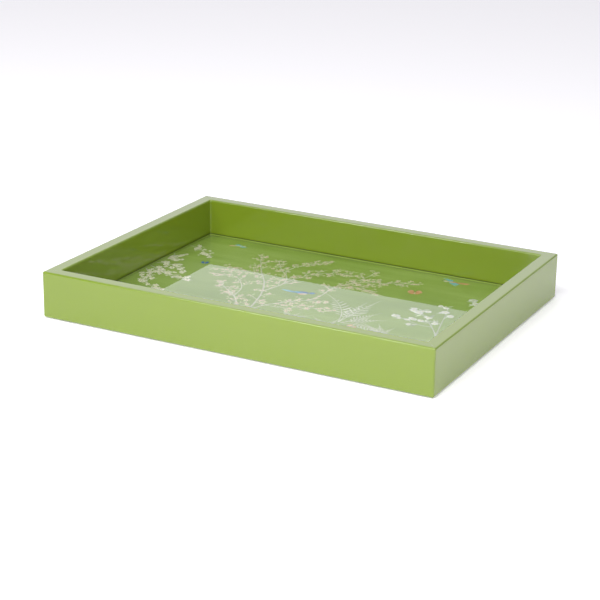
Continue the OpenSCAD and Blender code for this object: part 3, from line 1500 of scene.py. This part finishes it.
@dataclass
class Creature:
    """A bird or an insect, painted as groups of strokes in its own small frame.

    Its place is in millimetres and its turn in degrees.
    """

    name: str
    place: Pair
    turn: float
    size: float
    groups: list[Feathers]
    ground: float
    seed: int

    def build(self, paint: bpy.types.Material) -> None:
        """Paints the creature as one piece."""
        rng = np.random.default_rng(self.seed)
        work = Brushwork(self.name, self.ground, crown=0.022 * MM)
        for group in self.groups:
            self._paint(work, group, rng)
        work.build(paint)

    def _paint(self, work: Brushwork, group: Feathers, rng: Rng) -> None:
        """Paints one group: strokes fanned between two directions, spread along a line.

        Args:
            work: where the strokes go.
            group: the group, in millimetres and degrees before turning and sizing.
            rng: source of the random draws.
        """
        share = np.linspace(0, 1, group.count) if group.count > 1 else np.array([0.5])
        start = np.array([group.root]) + share[:, None] * np.array([group.spread])
        angle = np.radians(group.towards[0] * (1 - share) + group.towards[1] * share)
        length = group.length[0] * (1 - share) + group.length[1] * share
        turn = math.radians(self.turn)
        spin = np.array([[math.cos(turn), math.sin(turn)], [-math.sin(turn), math.cos(turn)]])
        start = (start @ spin * self.size + np.array(self.place)) * MM
        bend = np.full(group.count, group.bend)
        paths = arcs(start, angle + turn, length * self.size * MM, bend, FEATHER_SAMPLES)
        widths = petal_widths(FEATHER_SAMPLES, group.half_width * self.size * MM,
                              group.broadest, group.blunt)
        work.add(paths, widths, group.inner, group.outer, group.layer, rng, vary=0.05)


DEEP_BLUE: Colour = (0.035, 0.13, 0.36)
MID_BLUE: Colour = (0.07, 0.27, 0.52)
TURQUOISE: Colour = (0.08, 0.48, 0.74)
PALE_AQUA: Colour = (0.30, 0.62, 0.76)
CREAM: Colour = (0.72, 0.63, 0.48)
RUST: Colour = (0.58, 0.20, 0.09)
APRICOT: Colour = (0.76, 0.38, 0.22)
INK: Colour = (0.03, 0.03, 0.03)


def perching_bird() -> list[Feathers]:
    """A long-tailed bird in profile, beak towards +X, with its body at the origin."""
    return [
        Feathers((-6, 0), (183, 176), (17, 15), 1.3, 4, MID_BLUE, PALE_AQUA, (0, -1.8),
                 broadest=0.6),
        Feathers((-8, 0), (8, 8), (15, 15), 3.6, 1, MID_BLUE, DEEP_BLUE, bend=0.35,
                 broadest=0.55),
        Feathers((-3, -2.8), (14, 14), (10, 10), 2.2, 1, APRICOT, CREAM, bend=0.6,
                 layer=Layer.DETAIL),
        Feathers((1.0, 2.4), (190, 172), (11, 9), 1.1, 5, DEEP_BLUE, TURQUOISE, (0, -2.8),
                 layer=Layer.DETAIL),
        Feathers((5.0, 3.2), (38, 38), (6, 6), 2.5, 1, DEEP_BLUE, MID_BLUE,
                 layer=Layer.DETAIL, blunt=0.5),
        Feathers((9.2, 6.2), (10, 10), (2.8, 2.8), 0.6, 1, INK, RUST, broadest=0.3,
                 layer=Layer.DETAIL),
    ]


def flying_bird(wing: Colour, tail: Colour) -> list[Feathers]:
    """A bird on the wing, seen from above and heading towards -X.

    Args:
        wing: colour of the wings.
        tail: colour of the tail.

    Returns:
        Its strokes.
    """
    return [
        Feathers((4, 0), (8, -8), (18, 16), 1.1, 4, tail, APRICOT, broadest=0.55),
        Feathers((-2, 1), (134, 104), (13, 7), 0.65, 4, wing, PALE_AQUA, (3, 0), bend=0.25),
        Feathers((-2, -1), (-44, -24), (16, 9), 0.65, 4, wing, PALE_AQUA, (5, 0), bend=0.15),
        Feathers((7, 0), (180, 180), (12, 12), 2.0, 1, tail, CREAM, layer=Layer.DETAIL),
        Feathers((-3, 0), (180, 180), (5.4, 5.4), 2.0, 1, CREAM, CREAM, layer=Layer.DETAIL,
                 blunt=0.5),
        Feathers((-8, 0), (180, 180), (2.6, 2.6), 0.5, 1, INK, INK, broadest=0.3,
                 layer=Layer.DETAIL),
    ]


def butterfly(wing: Colour, edge: Colour) -> list[Feathers]:
    """A butterfly seen from above and heading towards +Y.

    Args:
        wing: colour near its body.
        edge: colour at the wings' edges.

    Returns:
        Its strokes.
    """
    upper = {"half_width": 2.2, "count": 4, "broadest": 0.68, "blunt": 0.6}
    lower = {"half_width": 1.8, "count": 3, "broadest": 0.66, "blunt": 0.6}
    body = {"layer": Layer.DETAIL, "half_width": 0.55, "count": 1}
    return [
        Feathers((0.4, 0.8), (58, 15), (10.0, 8.5), inner=wing, outer=edge, **upper),
        Feathers((-0.4, 0.8), (122, 165), (10.0, 8.5), inner=wing, outer=edge, **upper),
        Feathers((0.4, -0.5), (-12, -48), (6.0, 4.5), inner=edge, outer=wing, **lower),
        Feathers((-0.4, -0.5), (192, 228), (6.0, 4.5), inner=edge, outer=wing, **lower),
        Feathers((0, -4), (90, 90), (8, 8), inner=CREAM, outer=APRICOT, **body),
        Feathers((0, 3.6), (72, 108), (4.5, 4.5), 0.14, 2, INK, INK, layer=Layer.DETAIL),
    ]


# ---------------------------------------------------------------- the painting


@dataclass
class Painting:
    """The floor's decoration: trees in flower, ferns, a white peony, birds and butterflies."""

    ground: float

    def build(self) -> None:
        """Paints every subject on the card."""
        paint = BrushPaint().build()
        for subject in (self.ferns(), self.plum_tree(), self.left_spray(), self.peony(),
                        *self.creatures()):
            subject.build(paint)

    def plum_tree(self) -> BloomingTree:
        """The flowering tree that spreads over the middle of the tray."""
        limbs = [
            Limb([(-14, -116), (-22, -92), (-29, -62), (-33, -38), (-41, -6), (-54, 24),
                  (-70, 48), (-84, 72), (-92, 88)], 2.6, 0.5, 17, 0.38, 52),
            Limb([(-26, -78), (-37, -58), (-47, -38), (-60, -20), (-74, -8), (-88, 4)],
                 2.6, 0.8, 11, 0.35),
            Limb([(-32, -48), (-25, -28), (-11, -10), (2, 2), (12, 4)], 2.0, 0.6, 9, 0.25),
            Limb([(-64, 40), (-78, 46), (-92, 44), (-108, 38)], 1.0, 0.4, 8, 0.2),
            Limb([(-44, 4), (-38, 28), (-44, 48), (-58, 64), (-70, 82)], 1.4, 0.5, 11, 0.2),
            Limb([(-38, 28), (-34, 50), (-24, 70), (-8, 80), (6, 82)], 1.2, 0.4, 11, 0.2),
            Limb([(2, 2), (6, 22), (5, 40), (12, 58), (18, 78), (20, 98)], 1.4, 0.5, 11, 0.25),
            Limb([(5, 40), (16, 50), (28, 54), (40, 48)], 1.0, 0.4, 8, 0.15),
            Limb([(14, 62), (28, 72), (44, 78), (60, 86)], 1.0, 0.4, 8, 0.15),
            Limb([(-52, 58), (-50, 76), (-42, 92), (-32, 104)], 1.0, 0.4, 7, 0.3),
            Limb([(-60, -20), (-64, 0), (-74, 16), (-86, 26), (-104, 24)], 1.0, 0.4, 8, 0.25),
            Limb([(-25, -28), (-8, -26), (10, -16), (26, -12)], 1.1, 0.4, 8, 0.25),
        ]
        return BloomingTree("plum", limbs, PLUM, (0.64, 0.59, 0.48), (0.50, 0.53, 0.26),
                            self.ground, seed=21, flower_size=(0.4, 0.9), flowers_each=6,
                            scatter=2.3)

    def left_spray(self) -> BloomingTree:
        """Sprays of white blossom that reach in over the left edge."""
        limbs = [
            Limb([(-167, 6), (-158, -4), (-150, -14), (-146, -26)], 1.3, 0.4, 7, 0.2),
            Limb([(-167, 14), (-154, 8), (-138, 2), (-118, -4)], 1.3, 0.4, 10, 0.15),
            Limb([(-167, 24), (-158, 26), (-148, 24), (-138, 18)], 1.0, 0.4, 6, 0.2),
            Limb([(-167, 84), (-156, 80), (-146, 74), (-136, 66)], 1.0, 0.4, 6, 0.2),
            Limb([(-167, 56), (-163, 48), (-158, 42)], 0.9, 0.3, 3, 0.3),
            Limb([(-146, -26), (-140, -32), (-134, -36), (-128, -38)], 0.8, 0.35, 3, 0.4),
            Limb([(-166, -100), (-150, -88), (-132, -78), (-114, -72)], 1.2, 0.35, 6, 0.25),
        ]
        return BloomingTree("left_spray", limbs, SPRAY, (0.58, 0.55, 0.42), (0.44, 0.46, 0.24),
                            self.ground, seed=22, twig_length=(4.0, 9.0),
                            flower_size=(0.5, 1.1), flowers_each=4, scatter=2.6)

    def peony(self) -> BloomingTree:
        """The white peony on the right, which rises from the near corner."""
        limbs = [
            Limb([(150, -112), (147, -80), (141, -48), (133, -24), (122, -6), (112, 8),
                  (102, 20), (92, 26)], 2.0, 0.5, 5, 0.66, 40),
            Limb([(133, -24), (128, -4), (124, 12), (120, 28), (116, 42)], 1.3, 0.4, 4, 0.4),
            Limb([(122, -6), (110, -6), (100, -2), (90, 2)], 1.0, 0.4, 3, 0.4),
            Limb([(164, 36), (152, 50), (140, 62), (130, 70)], 1.2, 0.35, 4, 0.4),
            Limb([(144, -80), (128, -78), (110, -74), (96, -66)], 1.2, 0.35, 4, 0.35),
        ]
        return BloomingTree("peony", limbs, PEONY, (0.64, 0.62, 0.52), (0.50, 0.52, 0.36),
                            self.ground, seed=23, twig_length=(6.0, 11.0),
                            flower_size=(0.5, 1.1), leaf_length=(5.0, 9.0),
                            flowers_each=2, scatter=2.6)

    def ferns(self) -> FernBed:
        """Ferns along the near side and one large clump right of the tree."""
        crowns = [
            FernCrown(49, -34, 72, 94, 3, 15),
            FernCrown(51, -33, 46, 42, 3, 24),
            FernCrown(8, -52, 30, 92, 9, 76),
            FernCrown(44, -54, 28, 90, 8, 70),
            FernCrown(92, -50, 32, 90, 10, 78),
            FernCrown(74, -104, 30, 106, 5, 50),
            FernCrown(-60, -96, 44, 98, 6, 54),
            FernCrown(-108, -108, 36, 74, 5, 50),
            FernCrown(20, -114, 40, 80, 6, 54),
            FernCrown(112, -116, 34, 100, 5, 50),
        ]
        return FernBed(crowns, self.ground, seed=24)

    def creatures(self) -> list[Creature]:
        """The birds and the insects."""
        ground = self.ground
        return [
            Creature("blue_bird", (-11, 15), -4, 1.0, perching_bird(), ground, 31),
            Creature("turquoise_bird", (90, 110), 4, 0.9, flying_bird(TURQUOISE, RUST),
                     ground, 32),
            Creature("small_bird", (-124, 106), 200, 0.6, flying_bird(TURQUOISE, CREAM),
                     ground, 33),
            Creature("ground_bird", (-96, -58), 4, 0.9, perching_bird(), ground, 34),
            Creature("orange_butterfly", (74, 66), 18, 0.85, butterfly(RUST, APRICOT),
                     ground, 35),
            Creature("blue_butterfly", (-128, 45), 22, 0.5, butterfly(DEEP_BLUE, DEEP_BLUE),
                     ground, 36),
            Creature("pale_butterfly", (62, -40), -30, 0.6, butterfly(CREAM, APRICOT),
                     ground, 37),
        ]


# ---------------------------------------------------------------- studio


@dataclass(frozen=True)
class SoftBox:
    """A square soft light aimed at the tray, in degrees, metres and watts.

    Azimuth runs round from the front towards +X, and elevation up from the floor.
    """

    name: str
    azimuth: float
    elevation: float
    distance: float
    size: float
    power: float

    def build(self) -> None:
        """Hangs the light."""
        light = bpy.data.lights.new(self.name, "AREA")
        light.shape = "SQUARE"
        light.size = self.size
        light.energy = self.power
        lamp = bpy.data.objects.new(self.name, light)
        round_by, up_by = math.radians(self.azimuth), math.radians(self.elevation)
        level = math.cos(up_by)
        away = Vector((math.sin(round_by) * level, -math.cos(round_by) * level, math.sin(up_by)))
        lamp.location = away * self.distance
        lamp.rotation_euler = away.to_track_quat("Z", "Y").to_euler()
        bpy.context.collection.objects.link(lamp)


SOFT_BOXES = (
    SoftBox("key", 10, 48, 1.5, 1.0, 19.0),
    SoftBox("front_fill", 0, 28, 0.85, 0.35, 1.3),
    SoftBox("side_fill", 78, 14, 1.6, 0.8, 2.4),
    SoftBox("edge_light", -36, 47, 2.2, 0.55, 12.0),
)


@dataclass
class Studio:
    """Pale floor, soft light and the camera."""

    camera_place: Triple = (0.6541, -1.2728, 0.5122)
    yaw: float = 27.389
    pitch: float = -19.445
    roll: float = 0.986
    lens: float = 105.03
    floor_half: float = 9.0
    sky_colour: Colour = (0.98, 0.95, 1.06)
    sky_strength: float = 0.44
    backdrop_gain: float = 0.93
    backdrop_towards: Triple = (-0.46, 0.89, 0.0)
    backdrop_edge: Pair = (0.62, 0.86)

    def build(self) -> None:
        """Sets everything up."""
        self.floor()
        self.sky()
        for box in SOFT_BOXES:
            box.build()
        self.camera()
        bpy.context.scene.view_settings.view_transform = "Standard"

    def floor(self) -> None:
        """A wide sheet of pale paper at the height where the tray rests."""
        reach = self.floor_half
        line = np.linspace(-reach, reach, 7)
        x, y = np.meshgrid(line, line)
        points = np.stack([x, y, 0 * x], -1).reshape(-1, 3)
        mesh = bpy.data.meshes.new("studio_floor")
        mesh.from_pydata(points.tolist(), [], grid_faces(7, 7).tolist())
        mesh.materials.append(StudioPaper().build())
        paper = bpy.data.objects.new("studio_floor", mesh)
        bpy.context.collection.objects.link(paper)

    def sky(self) -> None:
        """Soft light all round, brighter from the pale backdrop behind the tray."""
        world = bpy.data.worlds.new("studio")
        bpy.context.scene.world = world
        world.use_nodes = True
        tree = Tree(world.node_tree)
        around = tree.node("ShaderNodeTexCoord", output="Generated")
        towards = {0: around, 1: self.backdrop_towards}
        facing = tree.node("ShaderNodeVectorMath", {"operation": "DOT_PRODUCT"}, towards,
                           output="Value")
        backdrop = tree.step(facing, *self.backdrop_edge)
        glow = {"Color": (*self.sky_colour, 1.0),
                "Strength": self.sky_strength + self.backdrop_gain * backdrop}
        light = tree.node("ShaderNodeBackground", {}, glow)
        tree.node("ShaderNodeOutputWorld", {}, {"Surface": light})

    def camera(self) -> None:
        """The camera, by its place, its direction and how far it is rolled."""
        data = bpy.data.cameras.new("camera")
        data.lens = self.lens
        data.sensor_width = 36.0
        eye = bpy.data.objects.new("camera", data)
        upright = Matrix.Rotation(math.radians(self.yaw), 4, "Z")
        tipped = Matrix.Rotation(math.radians(90 + self.pitch), 4, "X")
        rolled = Matrix.Rotation(math.radians(self.roll), 4, "Z")
        eye.matrix_world = Matrix.Translation(self.camera_place) @ upright @ tipped @ rolled
        bpy.context.collection.objects.link(eye)
        bpy.context.scene.camera = eye


# ---------------------------------------------------------------- the whole


def main() -> None:
    """Builds the tray and its studio."""
    logging.basicConfig(level=logging.INFO, format="%(name)s: %(message)s")
    sizes = TraySizes.from_frame()
    RailFrame(sizes, GreenLacquer().build()).build()
    floor = TrayFloor(sizes)
    floor.build_card()
    floor.build_glass()
    Painting(floor.ground).build()
    FeltBase().build()
    Joinery().dress_all()
    Studio().build()


if __name__ == "__main__":
    main()
